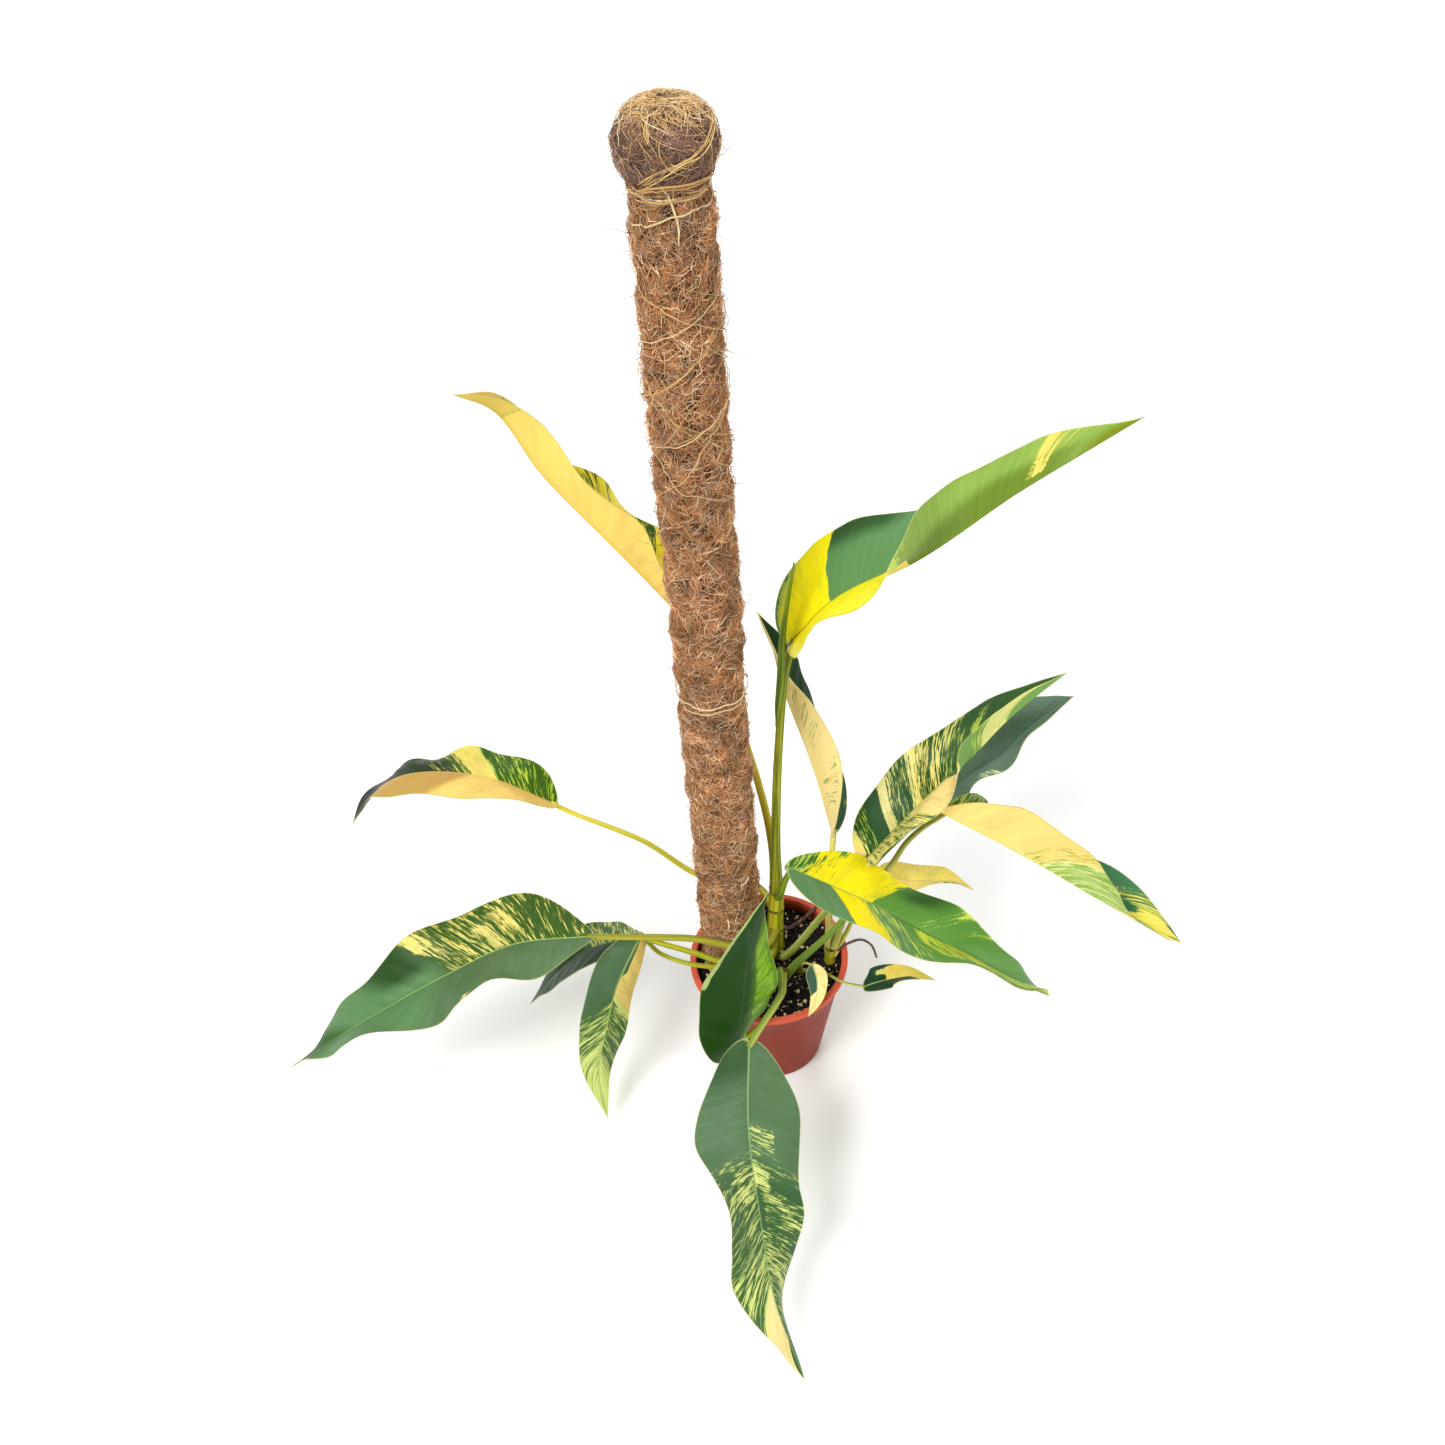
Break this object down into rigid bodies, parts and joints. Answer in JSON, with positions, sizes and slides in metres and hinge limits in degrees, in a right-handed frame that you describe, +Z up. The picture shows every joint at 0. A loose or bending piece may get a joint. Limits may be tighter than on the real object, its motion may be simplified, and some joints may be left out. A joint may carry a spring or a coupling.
{
  "type": "potted epipremnum giganteum on a coir pole",
  "caption": "Variegated climbing aroid with long pointed leaves in a tapered nursery pot, on an upright coir-wrapped pole with a ball-shaped top.",
  "frame": {"origin": "centre of the pot's flat underside, on the surface that it stands on", "axes": "+Z up along the pole, +X to the right and -Y towards a viewer who faces the low front leaf"},
  "size_m": [0.8549, 0.4984, 0.9879],
  "materials": {
    "pot_plastic": "moulded nursery pot plastic, satin, lighter at the lip",
    "potting_mix": "dark crumbly mix with pale perlite grains",
    "stake_wood": "plain sawn stake",
    "coir": "matted coconut fibre, rough, quilted by its ties",
    "raffia": "dry straw-coloured strands",
    "stem_green": "smooth waxy stem with leaf scars",
    "root_bark": "dry brown root bark",
    "leaf_green": "satin leaf, green with cream and lime streaks",
    "leaf_yellow": "satin leaf, mostly yellow or cream with green streaks"
  },
  "bodies": {
    "root": {"pot": "pot_plastic", "soil": "potting_mix", "pole_stake": "stake_wood", "coir_wrap": "coir", "neck_tie": "raffia", "string_loop": "raffia", "stem_main": "stem_green", "stem_right": "stem_green", "stem_front": "stem_green", "stem_young": "stem_green", "leaf_01": "leaf_yellow", "leaf_02": "leaf_green", "leaf_03": "leaf_green", "leaf_04": "leaf_green", "leaf_05": "leaf_green", "leaf_06": "leaf_yellow", "leaf_07": "leaf_green", "leaf_08": "leaf_yellow", "leaf_09": "leaf_yellow", "leaf_10": "leaf_green", "leaf_11": "leaf_green", "leaf_12": "leaf_green", "leaf_13": "leaf_green", "leaf_14": "leaf_green", "leaf_15": "leaf_green", "leaf_16": "leaf_green", "new_leaf_spear": "stem_green", "aerial_root_inner": "root_bark", "aerial_root_outer": "root_bark"}
  },
  "joints": []
}
